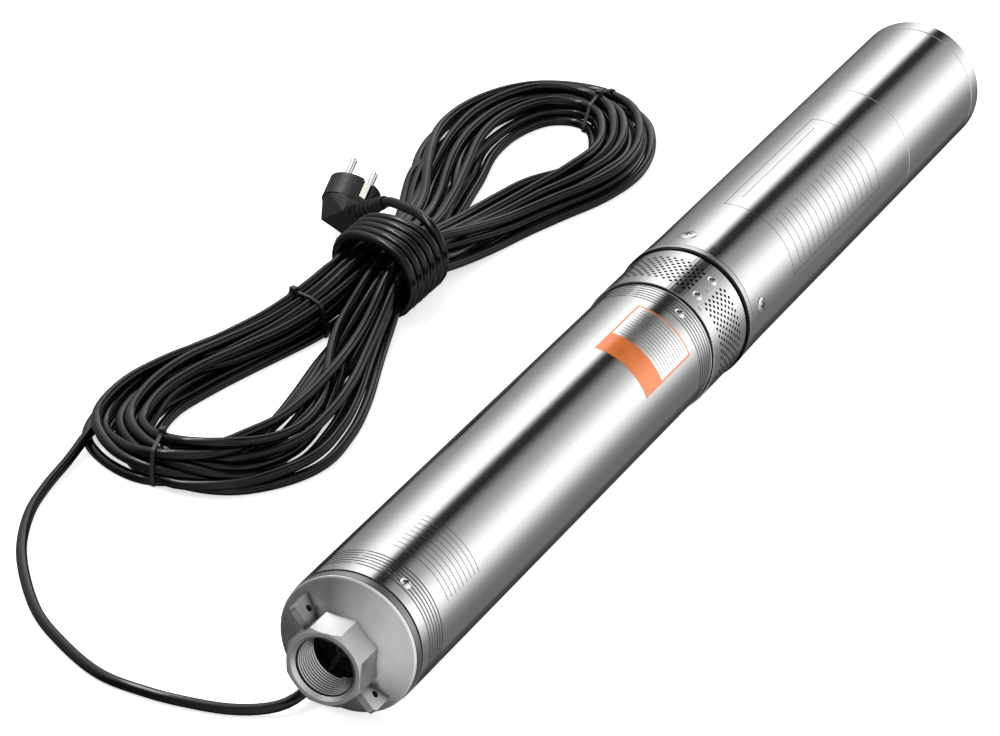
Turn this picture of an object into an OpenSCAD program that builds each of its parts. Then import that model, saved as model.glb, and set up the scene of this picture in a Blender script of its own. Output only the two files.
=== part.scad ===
// Borehole submersible pump, lying on its side with its cable tied up beside it.
// X runs along the pump from the outlet to the motor end, Z is up, millimetres.
// Inside the file a piece is drawn upright: its Z is the station along the pump,
// counted from the face of the discharge head, and laid() turns it on its side.

/* [Discharge head] */
// Width across the flats of the eight-sided outlet boss
boss_flats = 49; // [47:0.5:52]
// Height of the outlet boss above the head's face edge
boss_l = 32; // [30:0.5:40]
// Tapping bore of the outlet thread, 1 1/4 inch pipe
outlet_bore_d = 39; // [36:0.2:40]
// Depth of the outlet thread
outlet_thread_l = 26; // [22:0.5:27]
// Rise of the head's conical face
cone_h = 8.5; // [6:0.5:10]
// Length of the head inside the casing
head_l = 38; // [36:0.5:44]
// Bore of the valve chamber
chamber_d = 48; // [46:0.5:50]
// Thickness of the two rope lugs
lug_t = 5; // [4:0.5:8]
// Reach of the rope lugs from the pump's axis
lug_reach = 40; // [39:0.5:42]
// Height of the rope lugs above the face edge
lug_h = 20.5; // [19:0.5:24]
// Hole in the rope lugs
eye_d = 4.5; // [4:0.5:8]

/* [Check valve] */
// Diameter of the valve disc
poppet_d = 38; // [36:0.5:40]
// Lift of the valve disc
valve_lift = 8; // [5:0.5:8]
// Diameter of the valve stem
stem_d = 5; // [4:0.5:6]
// Wire of the return spring
spring_wire_d = 1.4; // [1:0.1:1.6]

/* [Casing and stages] */
// Outer diameter of the pump casing
casing_d = 92.4; // [91:0.2:94]
// Wall of the pump casing
casing_wall = 1.4; // [1:0.1:1.8]
// Length of one pump stage
stage_pitch = 44; // [42:0.5:48]
// Diameter of an impeller
impeller_d = 75; // [68:0.5:80]
// Width across the flats of the pump shaft
shaft_flats = 13; // [11:0.5:14]
// Number of rolled rings at each end of the casing
ring_count = 6; // [4:1:7]
// Spacing of the rolled rings
ring_pitch = 3.3; // [3:0.1:4]

/* [Inlet] */
// Outer diameter of the strainer
strainer_d = 95.2; // [94.6:0.2:97]
// Length of the strainer
strainer_l = 53; // [50:0.5:60]
// Sheet of the strainer and the cable guard
sheet_t = 0.8; // [0.6:0.1:1]
// Diameter of a strainer hole
strainer_hole_d = 2.4; // [1.6:0.1:2.4]
// Rows of strainer holes
hole_rows = 11; // [5:2:11]
// Spacing of the rows
row_pitch = 3.05; // [2.8:0.05:3.2]

/* [Motor] */
// Outer diameter of the motor
motor_d = 96; // [95.6:0.2:98]
// Wall of the motor tube
motor_wall = 1.6; // [1.2:0.1:2]
// Outer diameter of the motor head's flange
flange_d = 97.8; // [97.6:0.2:100]
// Length of the stator and the rotor
stator_l = 150; // [120:1:200]
// Length of tube before the stator, for the motor head and the end turns
head_room = 82; // [73:0.5:100]
// Length of tube behind the stator, for the end turns and the lower bracket
bracket_room = 56.5; // [50:0.5:80]
// Diameter of the rotor
rotor_d = 45; // [40:0.5:48]
// Diameter of the motor shaft
motor_shaft_d = 16; // [14:0.5:16.5]
// Length of the lower housing
housing_l = 125; // [115:0.5:150]
// Thickness of the end cap below the housing
cap_t = 15.7; // [12:0.1:24]

/* [Cable] */
// Diameter of the cable
cable_d = 7.2; // [6:0.1:7.6]
// Height of the two lobes of the tied cable
hank_h = 26; // [20:1:30]
// Width of the wraps round the waist of the tied cable
collar_w = 75; // [72:1:80]
// Height of those wraps
collar_h = 58; // [54:1:58]
// Length of those wraps along the pump
collar_l = 50; // [44:1:54]

/* [Hidden] */
$fn = 64;
stage_count = 8;
// Running and assembly clearances
fit = 0.1;
seam = 0.5;
valve_gap = 0.3;
// Clock angles round the pump, from +Y towards +Z, as seen from the outlet
screw_clock = 127;
lug_clock = 48;
boss_clock = 48;
motor_screw_clock = 82;
guard_clock = 307;
// Stations along the pump
casing_front = 8;
stage_front = head_l + 14;
stage_end = stage_front + stage_count * stage_pitch;
spigot_l = 35.5;
casing_end = stage_end + spigot_l;
strainer_front = casing_end + 1.5;
strainer_end = strainer_front + strainer_l;
flange_front = strainer_end + 2;
coupling_middle = strainer_front + 21.5;
flange_end = flange_front + 7;
tube_front = flange_end + seam;
stator_front = tube_front + head_room;
stator_end = stator_front + stator_l;
tube_end = stator_end + bracket_room;
housing_front = tube_end + 0.8;
housing_end = housing_front + housing_l;
cap_front = housing_end + seam;
cap_end = cap_front + cap_t;
middle = (cap_end - boss_l) / 2;
axis_z = flange_d / 2;
// Radii
casing_r = casing_d / 2;
spigot_r = casing_r - casing_wall - fit;
edge_r = casing_r - 0.7;
face_r = edge_r - 1;
boss_corner_r = boss_flats / 2 / cos(22.5);
chamber_r = chamber_d / 2;
stage_bore_r = spigot_r - 2.3;
hub_r = shaft_flats / 2 / cos(30) + 2;
strainer_r = strainer_d / 2;
land_r = strainer_r - sheet_t - fit;
motor_r = motor_d / 2;
motor_bore_r = motor_r - motor_wall;
motor_spigot_r = motor_bore_r - fit;
shaft_r = motor_shaft_d / 2;
// Check valve stations
guide_front = outlet_thread_l - boss_l;
guide_hub_end = guide_front + 12;
disc_t = 5.7;
poppet_front = guide_hub_end + valve_lift + 6;
poppet_back = poppet_front + disc_t;
seat_front = poppet_back + valve_gap;
// Ball bearings
bearing_w = 12;
bearing_r = 20;
ball_ring_r = 14.25;
ball_r = 3.3;
ball_count = 8;
upper_bearing = flange_front + 36;
motor_head_l = 49;
seal_pocket_r = 18;
seal_front = flange_front + 16;
seal_face = seal_front + 7;
// Stator end turns, and the lower bracket before and behind its collar
winding_l = 22;
bracket_l = 24;
bracket_spigot_l = 14;
lower_bearing = tube_end - bracket_l + 1;
// Capacitor
can_r = 21;
// Screws
casing_screw_s = [casing_front + 15, casing_end - 12];
strainer_screw_s = [strainer_front + 13.8, strainer_front + 38.6];
motor_screw_way = 16.5;
motor_screw_s = tube_front + motor_screw_way;
guard_screw_s = [casing_front + 31.5, strainer_front + 26];
// Lip of the motor tube, and where its taper starts and ends
lip = 0.5;
lip_l = 6;
lip_end = 36;
// Head radius, head height and shank radius of the screws
small_screw = [4, 1.5, 2];
motor_screw = [5.8, 0.85, 2.5];
guard_screw = [2.8, 1.3, 1.6];
seat_rise = lip * (lip_end - motor_screw_way + motor_screw[0]) / (lip_end - lip_l);
motor_screw_seat = motor_r + seat_rise + fit / 10;
guard_screw_turn = 11;
guard_screw_places = [[guard_screw_s[0], casing_r], [guard_screw_s[1], strainer_r]];
// Cable under its guard
lead_r = casing_r + cable_d / 2 + 0.2;
lead_in_r = 42;
guard_front = casing_front - 1.5;
guard_half = cable_d / 2 + 0.6;
guard_top = lead_r + cable_d / 2 + 0.3;
guard_flange = 13;
// Cable on the floor, from the guard to the tied cable
exit_point = [guard_front - middle - 2, lead_r * cos(guard_clock), axis_z + lead_r * sin(guard_clock)];
cord_route = concat([exit_point], [[-457, 31.5, 8], [-467, 38, 6], [-475, 50, 4.6], [-481, 67, 4],
    [-484, 90, 4], [-484, 118, 4], [-477, 156, 4], [-452, 198, 4], [-421, 234, 4], [-368, 274, 4],
    [-320, 297, 4], [-280, 307, 4], [-240, 309, 4.4], [-205, 304, 5]]);
// Tied cable
hank_z = 1.5;
collar_at = [72, 235];
near_lobe = [-167, 240];
far_lobe = [343, 232];
lobe_r = 84;
waist_r = 30;
opening_r = 40;
opening_from = 8;
opening_l = 140;
opening_end_r = 6;
// Lean of a lobe's outer and inner edge, and the place of the tie round one limb
waist_way = norm(collar_at - near_lobe);
outer_lean = asin((lobe_r - waist_r) / waist_way);
inner_lean = asin((opening_r - opening_end_r) / (opening_l - opening_from));
side_tie_way = 120;
limb_outer = (lobe_r - side_tie_way * sin(outer_lean)) / cos(outer_lean);
limb_inner = (opening_r - (side_tie_way - opening_from) * sin(inner_lean)) / cos(inner_lean);
// Plug on the floor behind the wraps
plug_at = [171, 310.4, 30];
plug_tilt = 56;
plug_roll = 230;
plug_r = 19.5;
boot_start = 23;
boot_l = 37;
boot_socket = 12;
boot_at = -28;
// Place of a point of the plug, from the plug's own axes
function plug_point(along, up) = plug_at + along * [cos(plug_roll) * cos(plug_tilt), sin(plug_roll),
    -cos(plug_roll) * sin(plug_tilt)] + up * [sin(plug_tilt), 0, cos(plug_tilt)];
// Cable from the plug's strain relief up onto the wraps
boot_end = boot_start + boot_l;
tail_route = [plug_point(boot_end - boot_socket + 1, boot_at), plug_point(boot_end, boot_at),
  [121.5, 254.5, 53], [112, 246.5, 58.7], [100, 240, 61.9], [88, 235, 62.2]];

// Lays an upright piece along X at the height of the pump's axis.
module laid() {
  translate([-middle, 0, axis_z]) rotate([0, 90, 0]) children();
}

// Turns a piece drawn towards +X to a clock angle.
module clock(angle) {
  rotate([0, 0, angle + 90]) children();
}

// Ring between two stations.
module ring(r_out, r_in, from, to) {
  translate([0, 0, from]) difference() {
    cylinder(r = r_out, h = to - from);
    translate([0, 0, -1]) cylinder(r = r_in, h = to - from + 2);
  }
}

// Plain bore or disc between two stations.
module rod(r, from, to) {
  translate([0, 0, from]) cylinder(r = r, h = to - from);
}

// Torus of an O-ring, groove or ball track.
module torus(r, wire_r, at) {
  translate([0, 0, at]) rotate_extrude() translate([r, 0]) circle(r = wire_r);
}

// Stands a piece drawn along Z out of the side at a station, clock angle and radius.
module on_side(at, angle, r) {
  translate([0, 0, at]) clock(angle) rotate([0, 90, 0]) translate([0, 0, r]) children();
}

// Domed cross-head screw, size is head radius, head height and shank radius.
module screw(size, shank_l) {
  dome_r = (pow(size[0], 2) + pow(size[1], 2)) / (2 * size[1]);
  slot_l = size[0] * 1.1;
  slot_w = size[0] * 0.24;
  difference() {
    union() {
      intersection() {
        translate([0, 0, size[1] - dome_r]) sphere(r = dome_r);
        cylinder(r = size[0], h = size[1]);
      }
      translate([0, 0, -shank_l]) cylinder(r = size[2], h = shank_l);
    }
    for (turn = [0, 90]) rotate([0, 0, turn]) translate([-slot_l / 2, -slot_w / 2, size[1] * 0.35])
      cube([slot_l, slot_w, size[1]]);
  }
}

// Smooth points through a route, three steps for each span.
function spline(a, b, c, d, t) = 0.5 * (2 * b + (c - a) * t + (2 * a - 5 * b + 4 * c - d) * t * t
    + (3 * b - a - 3 * c + d) * t * t * t);
function smooth(route, steps) = let (n = len(route)) concat(
    [for (i = [0 : n - 2], k = [0 : steps - 1])
      spline(route[max(i - 1, 0)], route[i], route[i + 1], route[min(i + 2, n - 1)], k / steps)],
    [route[n - 1]]);
function unit(v) = v / norm(v);

// Round tube along a list of points.
module tube(points, r, sides) {
  n = len(points);
  corners = [for (i = [0 : n - 1])
    let (along = unit(points[min(i + 1, n - 1)] - points[max(i - 1, 0)]),
         across = unit(cross(along, [0, 0, 1])),
         upward = cross(across, along))
    for (k = [0 : sides - 1])
      let (a = (k + 0.5) * 360 / sides) points[i] + r * (cos(a) * across + sin(a) * upward)];
  walls = [for (i = [0 : n - 2], k = [0 : sides - 1])
    let (a = i * sides + k, b = i * sides + (k + 1) % sides)
      each [[a, b + sides, b], [a, a + sides, b + sides]]];
  ends = [[for (k = [0 : sides - 1]) k], [for (k = [sides - 1 : -1 : 0]) (n - 1) * sides + k]];
  polyhedron(points = corners, faces = concat(ends, walls), convexity = 10);
}

// Rope lug: a flat plate standing on the cone beside the boss, with a rounded outer corner.
module rope_lug() {
  corner_r = 3;
  inner_r = boss_flats / 2 - 2;
  difference() {
    rotate([90, 0, 0]) linear_extrude(lug_t, center = true) union() {
      translate([inner_r, corner_r - lug_h]) square([lug_reach - inner_r, lug_h - corner_r + 0.5]);
      translate([inner_r, -lug_h]) square([lug_reach - corner_r - inner_r, lug_h]);
      translate([lug_reach - corner_r, corner_r - lug_h]) circle(r = corner_r);
    }
    translate([(boss_flats / 2 + lug_reach) / 2, 0, -lug_h / 2 - 0.5]) rotate([90, 0, 0])
      cylinder(d = eye_d, h = lug_t + 2, center = true);
  }
}

// Stainless casting with the threaded outlet, the valve chamber and the two rope lugs.
module discharge_head() {
  mouth_chamfer = 2.2;
  edge_back = casing_front - 0.8;
  cone_in_r = outlet_bore_d / 2 + 1;
  cone_top = cone_h * (face_r - cone_in_r) / (face_r - boss_corner_r - 1);
  color("silver") laid() difference() {
    union() {
      rotate_extrude() polygon([[0, -cone_top], [cone_in_r, -cone_top], [face_r, 0], [edge_r, 1],
        [edge_r, edge_back], [spigot_r, edge_back], [spigot_r, head_l], [0, head_l]]);
      intersection() {
        translate([0, 0, -boss_l]) clock(boss_clock) rotate([0, 0, 22.5])
          cylinder(r = boss_corner_r, h = boss_l, $fn = 8);
        rotate_extrude() polygon([[0, -boss_l], [boss_flats / 2 - 0.4, -boss_l],
          [boss_corner_r + 0.4, -boss_l + 2.2], [boss_corner_r + 0.4, 0], [0, 0]]);
      }
      for (side = [0, 180]) clock(lug_clock + side) rope_lug();
    }
    rod(outlet_bore_d / 2, -boss_l - 1, guide_front + 1);
    translate([0, 0, -boss_l - 0.01])
      cylinder(r1 = outlet_bore_d / 2 + mouth_chamfer, r2 = outlet_bore_d / 2, h = mouth_chamfer);
    rod(chamber_r, guide_front, head_l + 1);
    on_side(casing_screw_s[0], screw_clock, spigot_r - 8) cylinder(r = small_screw[2] + fit, h = 9);
  }
}

// Moulded spider that guides the valve stem.
module valve_guide() {
  rim = 3.5;
  rim_l = 5;
  hub = stem_d / 2 + 2.4;
  color("dimgray") laid() difference() {
    union() {
      ring(chamber_r - fit, chamber_r - rim, guide_front, guide_front + rim_l);
      rod(hub, guide_front, guide_hub_end);
      for (a = [30, 150, 270]) rotate([0, 0, a]) translate([hub - 1, -1.5, guide_front + 0.5])
        cube([chamber_r - rim - hub + 2, 3, rim_l - 1]);
    }
    rod(stem_d / 2 + 0.3, guide_front - 1, guide_hub_end + 1);
  }
}

// Return spring of the check valve, a coil between the guide's rim arms and the disc.
module valve_spring() {
  turns = 5;
  steps = 12;
  coil_r = stem_d / 2 + 4.6;
  from = guide_front + 5 + spring_wire_d / 2 + valve_gap;
  to = poppet_front - spring_wire_d / 2 - valve_gap;
  points = [for (i = [0 : turns * steps])
    let (a = i * 360 / steps) [coil_r * cos(a), coil_r * sin(a), from + (to - from) * i / (turns * steps)]];
  color("lightsteelblue") laid() tube(points, spring_wire_d / 2, 6);
}

// Valve disc with its stem and the short cone that centres it in the seat.
module valve_poppet() {
  cone_r = poppet_d / 2 - 4;
  color("black") laid() union() {
    rod(stem_d / 2, guide_front + 0.5, poppet_front + 1);
    rod(poppet_d / 2, poppet_front, poppet_back);
    translate([0, 0, poppet_back - 0.5]) cylinder(r1 = cone_r, r2 = cone_r - 5, h = 5.5);
  }
}

// Seat ring of the check valve, held between the chamber and the bearing spider.
module valve_seat() {
  color("gainsboro") laid() ring(chamber_r - fit, poppet_d / 2 - 3.5, seat_front, head_l);
}

// Stainless tube that holds the stages, with rolled rings and a screw hole near each end.
module pump_casing() {
  groove_r = 0.6;
  groove_t = 0.35;
  color("lightgray") laid() difference() {
    ring(casing_r, casing_r - casing_wall, casing_front, casing_end);
    for (i = [0 : ring_count - 1], s = [casing_front + 9.5 + i * ring_pitch, casing_end - 2.5 - i * ring_pitch])
      torus(casing_r + groove_r - groove_t, groove_r, s);
    for (s = casing_screw_s) on_side(s, screw_clock, casing_r - 4) cylinder(r = small_screw[2] + fit, h = 8);
    for (side = [-1, 1]) on_side(guard_screw_s[0], guard_clock + side * guard_screw_turn, casing_r - 4)
      cylinder(r = guard_screw[2] + fit, h = 8);
  }
}

// Two screws that lock the casing on the head and on the suction bracket.
module casing_screws() {
  color("white") laid() for (s = casing_screw_s) on_side(s, screw_clock, casing_r) screw(small_screw, 5);
}

// Spider that carries the upper shaft bearing above the last stage.
module top_bearing_spider() {
  rim = 3;
  hub = hub_r + 4;
  color("dimgray") laid() difference() {
    union() {
      ring(spigot_r, spigot_r - rim, head_l, stage_front);
      rod(hub, head_l, stage_front);
      for (a = [45 : 90 : 315]) rotate([0, 0, a]) translate([hub - 1, -2, head_l + 1])
        cube([spigot_r - rim - hub + 2, 4, stage_front - head_l - 2]);
    }
    rod(hub_r + 1, head_l - 1, stage_front + 1);
  }
}

// Rubber bush of the upper shaft bearing.
module top_bearing_bush() {
  color("black") laid() ring(hub_r + 1 - fit / 2, shaft_flats / 2 + fit, head_l, stage_front - 0.5);
}

// Six-sided pump shaft with a round journal for the upper bearing.
module pump_shaft() {
  color("silver") laid() union() {
    rod(shaft_flats / 2, head_l + 1, stage_front + 1);
    translate([0, 0, stage_front])
      cylinder(r = shaft_flats / 2 / cos(30), h = coupling_middle - 0.5 - stage_front, $fn = 6);
  }
}

// Bore that slides over the six-sided shaft.
module hex_bore(from, to) {
  translate([0, 0, from]) cylinder(r = (shaft_flats / 2 + fit) / cos(30), h = to - from, $fn = 6);
}

// Stop that holds the impellers on the shaft.
module shaft_nut() {
  color("gold") laid() difference() {
    rod(hub_r, stage_front + 0.6, stage_front + 4.3);
    hex_bore(stage_front, stage_front + 5);
  }
}

// Closed impeller: hub, two shrouds, the inlet neck and six swept-back blades.
module impeller(i) {
  front = stage_front + i * stage_pitch;
  shroud = 2;
  back_at = front + 22;
  face_at = front + 31;
  neck_r = impeller_d * 0.26;
  blade_r = impeller_d * 0.36;
  color("tan") laid() difference() {
    union() {
      rod(hub_r, front + 4.5, front + 4.3 + stage_pitch);
      rod(impeller_d / 2, back_at, back_at + shroud);
      ring(impeller_d / 2, neck_r, face_at, face_at + shroud);
      ring(neck_r + shroud, neck_r, face_at, face_at + 6);
      intersection() {
        for (a = [0 : 60 : 300]) rotate([0, 0, a]) translate([blade_r * 0.62, -blade_r * 0.62, back_at])
          difference() {
            cylinder(r = blade_r, h = face_at + shroud - back_at);
            translate([0, 0, -1]) cylinder(r = blade_r - 1.6, h = face_at + shroud - back_at + 2);
            translate([-blade_r * 2, -blade_r * 2, -1]) cube([blade_r * 4, blade_r * 2, stage_pitch]);
            translate([-blade_r * 2, -blade_r * 2, -1]) cube([blade_r * 2, blade_r * 4, stage_pitch]);
          }
        ring(impeller_d / 2 - 0.5, hub_r - 1, back_at, face_at + shroud);
      }
    }
    hex_bore(front + 4, front + 5 + stage_pitch);
  }
}

// Diffuser bowl of one stage: shell, guide plate and eight return vanes.
module diffuser(i) {
  front = stage_front + i * stage_pitch;
  plate_r = stage_bore_r - 10;
  color("darkgray") laid() difference() {
    union() {
      ring(spigot_r, stage_bore_r, front, front + stage_pitch);
      rod(plate_r, front, front + 3);
      for (a = [0 : 45 : 315]) rotate([0, 0, a]) translate([hub_r + 6, -1, front])
        cube([stage_bore_r - hub_r - 5.5, 2, 15]);
    }
    rod(hub_r + 0.5, front - 1, front + 4);
  }
}

// Cast bracket between pump and motor: a spigot in the casing, open legs and the motor flange.
module suction_bracket() {
  inlet_r = 28;
  leg_count = 6;
  window_front = strainer_front + 6;
  window_end = strainer_end - 10;
  color("silver") laid() difference() {
    union() {
      ring(spigot_r, inlet_r, stage_end, strainer_front + 1);
      ring(land_r, inlet_r, strainer_front, window_front);
      ring(land_r, inlet_r - 4, window_end, strainer_end);
      ring(land_r - 3.2, inlet_r - 4, strainer_end - 1, flange_front);
      for (k = [0 : leg_count - 1]) clock(screw_clock + k * 360 / leg_count)
        translate([38, -5, window_front - 1]) cube([6.5, 10, window_end - window_front + 2]);
    }
    clock(guard_clock) translate([lead_in_r - cable_d / 2 - 1, -cable_d / 2 - 1, strainer_front - 8])
      cube([20, cable_d + 2, flange_front - strainer_front + 9]);
    on_side(casing_screw_s[1], screw_clock, spigot_r - 8) cylinder(r = small_screw[2] + fit, h = 9);
    for (s = strainer_screw_s) on_side(s, screw_clock, strainer_r - 8)
      cylinder(r = small_screw[2] + fit, h = 9);
    for (side = [-1, 1]) on_side(guard_screw_s[1], guard_clock + side * guard_screw_turn, strainer_r - 8)
      cylinder(r = guard_screw[2] + fit, h = 9);
  }
}

// Perforated stainless strainer, rolled from sheet, with a plain strip for its screws
// and a slot under the cable guard. Each hole lies on a narrow flat of the rolled wall.
module strainer() {
  hole_count = 58;
  flats = 2 * hole_count;
  first_row = (strainer_l - (hole_rows - 1) * row_pitch) / 2;
  plain_strip = 9;
  guard_strip = 162;
  slot_half = cable_d / 2 + 1;
  color("gainsboro") laid() difference() {
    translate([0, 0, strainer_front]) clock(screw_clock) difference() {
      linear_extrude(strainer_l) difference() {
        strainer_wall(strainer_r, flats);
        strainer_wall(strainer_r - sheet_t, flats);
      }
      for (row = [0 : hole_rows - 1], k = [0 : hole_count - 1]) {
        turn = (k + (row % 2) / 2) * 360 / hole_count;
        from_screws = min(turn, 360 - turn);
        if (from_screws > plain_strip && from_screws < guard_strip)
          translate([0, 0, first_row + row * row_pitch]) rotate([0, 90, turn])
            translate([0, 0, strainer_r - 2]) cylinder(d = strainer_hole_d, h = 4, $fn = 16);
      }
    }
    clock(guard_clock) translate([strainer_r / 2, -slot_half, strainer_front - 1])
      cube([strainer_r, 2 * slot_half, strainer_l + 2]);
    for (s = strainer_screw_s) on_side(s, screw_clock, strainer_r - 4)
      cylinder(r = small_screw[2] + fit, h = 8);
    for (side = [-1, 1]) on_side(guard_screw_s[1], guard_clock + side * guard_screw_turn, strainer_r - 4)
      cylinder(r = guard_screw[2] + fit, h = 8);
  }
}

// Outline of the strainer's wall: a ring of narrow flats, one under each hole.
module strainer_wall(r, flats) {
  polygon([for (k = [0 : flats - 1])
    let (a = (k + 0.5) * 360 / flats) r / cos(180 / flats) * [cos(a), sin(a)]]);
}

// Two screws that hold the strainer on the suction bracket.
module strainer_screws() {
  color("white") laid() for (s = strainer_screw_s) on_side(s, screw_clock, strainer_r) screw(small_screw, 6);
}

// Sleeve that joins the six-sided pump shaft to the motor shaft.
module shaft_coupling() {
  front = strainer_front - 3;
  sleeve_r = 12.5;
  color("silver") laid() difference() {
    rod(sleeve_r, front, strainer_end - 8);
    hex_bore(front - 1, coupling_middle);
    rod(shaft_r + fit, coupling_middle - 0.1, strainer_end);
  }
}

// Rubber slinger that keeps sand off the shaft seal.
module sand_guard() {
  color("black") laid() difference() {
    translate([0, 0, strainer_end - 6]) cylinder(r1 = 12, r2 = 18, h = 6);
    rod(shaft_r + fit / 2, strainer_end - 7, strainer_end + 1);
  }
}

// Cast motor head: flange, spigot in the motor tube, seal cavity and bearing pocket.
module motor_head() {
  back = flange_front + motor_head_l;
  groove = flange_front + 39;
  color("silver") laid() difference() {
    rotate_extrude() polygon([[shaft_r + 0.5, flange_front], [flange_d / 2 - 1, flange_front],
      [flange_d / 2, flange_front + 1], [flange_d / 2, flange_end - 0.5], [flange_d / 2 - 0.5, flange_end],
      [motor_spigot_r, flange_end], [motor_spigot_r, back], [shaft_r + 0.5, back]]);
    rod(seal_pocket_r, seal_front, back + 1);
    rod(bearing_r + fit, upper_bearing - 1, back + 1);
    ring(motor_spigot_r + 1, motor_spigot_r - 2.1, groove - 1.4, groove + 1.4);
    for (k = [0 : 3]) on_side(motor_screw_s, motor_screw_clock + 90 * k, motor_spigot_r - 8)
      cylinder(r = motor_screw[2] + fit, h = 9);
    on_side(flange_front, guard_clock, 0) translate([0, 0, lead_in_r]) rotate([0, 90, 0])
      cylinder(r = cable_d / 2 + fit, h = 30, center = true);
  }
}

// Fixed ring of the shaft seal.
module seal_seat() {
  color("whitesmoke") laid() ring(seal_pocket_r - fit / 2, shaft_r + 1, seal_front, seal_face);
}

// Turning part of the shaft seal.
module seal_ring() {
  color("black") laid() ring(seal_pocket_r - 3, shaft_r + fit / 2, seal_face + valve_gap, upper_bearing - 2);
}

// Both ball bearings are drawn by the same three modules.
module at_bearings() {
  for (s = [upper_bearing, lower_bearing]) translate([0, 0, s]) children();
}

// Outer rings of the two ball bearings.
module bearing_outer_rings() {
  color("lightsteelblue") laid() at_bearings() difference() {
    ring(bearing_r, bearing_r - 3.6, 0, bearing_w);
    torus(ball_ring_r, ball_r + fit, bearing_w / 2);
  }
}

// Inner rings of the two ball bearings.
module bearing_inner_rings() {
  color("lightsteelblue") laid() at_bearings() difference() {
    ring(ball_ring_r - 2.2, shaft_r + fit / 2, 0, bearing_w);
    torus(ball_ring_r, ball_r + fit, bearing_w / 2);
  }
}

// Balls of the two ball bearings.
module bearing_balls() {
  color("white") laid() at_bearings() for (k = [0 : ball_count - 1])
    rotate([0, 0, k * 360 / ball_count]) translate([ball_ring_r, 0, bearing_w / 2]) sphere(r = ball_r);
}

// Motor shaft from the coupling to the lower bearing.
module motor_shaft() {
  color("silver") laid() rod(shaft_r, coupling_middle + 0.5, lower_bearing + bearing_w);
}

// Rotor core with its two end rings.
module rotor_core() {
  end_ring = 9;
  color("slategray") laid() difference() {
    union() {
      rod(rotor_d / 2, stator_front, stator_end);
      rod(rotor_d / 2 - 4, stator_front - end_ring, stator_end + end_ring);
    }
    rod(shaft_r + fit / 2, stator_front - end_ring - 1, stator_end + end_ring + 1);
  }
}

// Stacked stator core pressed into the motor tube.
module stator_core() {
  color("slategray") laid() ring(motor_spigot_r, rotor_d / 2 + 0.6, stator_front, stator_end);
}

// End turns of the stator windings, one bundle at each end of the core.
module stator_windings() {
  bundle = 7;
  bundle_r = (rotor_d / 2 + motor_spigot_r) / 2 + 1;
  color("chocolate") laid() for (s = [stator_front - winding_l, stator_end]) translate([0, 0, s])
    rotate_extrude() translate([bundle_r - bundle, 0]) square([2 * bundle, winding_l]);
}

// Stainless motor tube, opened out a little over the motor head.
module motor_tube() {
  color("lightgray") laid() difference() {
    rotate_extrude() polygon([[motor_bore_r, tube_front], [motor_r + lip, tube_front],
      [motor_r + lip, tube_front + lip_l], [motor_r, tube_front + lip_end], [motor_r, tube_end],
      [motor_bore_r, tube_end]]);
    for (k = [0 : 3]) on_side(motor_screw_s, motor_screw_clock + 90 * k, motor_r - 5)
      cylinder(r = motor_screw[2] + fit, h = 10);
  }
}

// Four screws that hold the motor tube on the motor head.
module motor_screws() {
  color("white") laid() for (k = [0 : 3])
    on_side(motor_screw_s, motor_screw_clock + 90 * k, motor_screw_seat) screw(motor_screw, 7);
}

// Cast bracket at the lower end of the motor: bearing pocket above, capacitor socket below.
module lower_bracket() {
  front = tube_end - bracket_l;
  back = housing_front + bracket_spigot_l;
  color("silver") laid() difference() {
    union() {
      rod(motor_spigot_r, front, back);
      rod(motor_r - 0.8, tube_end, housing_front);
    }
    rod(bearing_r + fit, front - 1, lower_bearing + bearing_w + 0.5);
    rod(can_r + fit, housing_front - 2, back + 1);
    for (s = [tube_end - 7, housing_front + 7])
      ring(motor_spigot_r + 1, motor_spigot_r - 2.1, s - 1.4, s + 1.4);
  }
}

// Stainless housing of the capacitor chamber.
module lower_housing() {
  color("lightgray") laid() ring(motor_r, motor_bore_r, housing_front, housing_end);
}

// Run capacitor with its two terminals.
module capacitor() {
  can_l = 84;
  color("lightblue") laid() union() {
    rod(can_r, housing_front - 2, housing_front - 2 + can_l);
    for (side = [-1, 1]) translate([side * 8 - 3, -0.5, housing_front - 3 + can_l]) cube([6, 1, 10]);
  }
}

// End cap with a rounded rim and a dished underside.
module end_cap() {
  rim_r = 4;
  groove = housing_end - 7;
  color("lightgray") laid() difference() {
    union() {
      rod(motor_spigot_r, housing_end - 14, cap_front + 1);
      translate([0, 0, cap_front]) rotate_extrude() union() {
        square([motor_r, cap_t - rim_r]);
        square([motor_r - rim_r, cap_t]);
        translate([motor_r - rim_r, cap_t - rim_r]) circle(r = rim_r);
      }
    }
    translate([0, 0, cap_end - 3]) cylinder(r1 = motor_r - 12, r2 = motor_r - 8, h = 4);
    rod(motor_spigot_r - 8, housing_end - 15, cap_front);
    ring(motor_spigot_r + 1, motor_spigot_r - 2.1, groove - 1.4, groove + 1.4);
  }
}

// O-rings that seal the motor head, the lower bracket and the end cap.
module o_rings() {
  wire_r = 1.05;
  color("black") laid() for (s = [flange_front + 39, tube_end - 7, housing_front + 7, housing_end - 7])
    torus(motor_bore_r - wire_r - fit / 2, wire_r, s);
}

// Channel section of the cable guard with its two curved flanges.
module guard_section(on_r) {
  union() {
    difference() {
      translate([on_r - 1, -guard_half - sheet_t])
        square([guard_top + sheet_t - on_r + 1, 2 * (guard_half + sheet_t)]);
      translate([on_r - 2, -guard_half]) square([guard_top - on_r + 2, 2 * guard_half]);
      circle(r = on_r + fit);
    }
    difference() {
      intersection() {
        circle(r = on_r + fit + sheet_t);
        translate([on_r / 2, -guard_flange]) square([on_r, 2 * guard_flange]);
      }
      circle(r = on_r + fit);
      translate([on_r / 2, -guard_half]) square([on_r, 2 * guard_half]);
    }
  }
}

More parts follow.
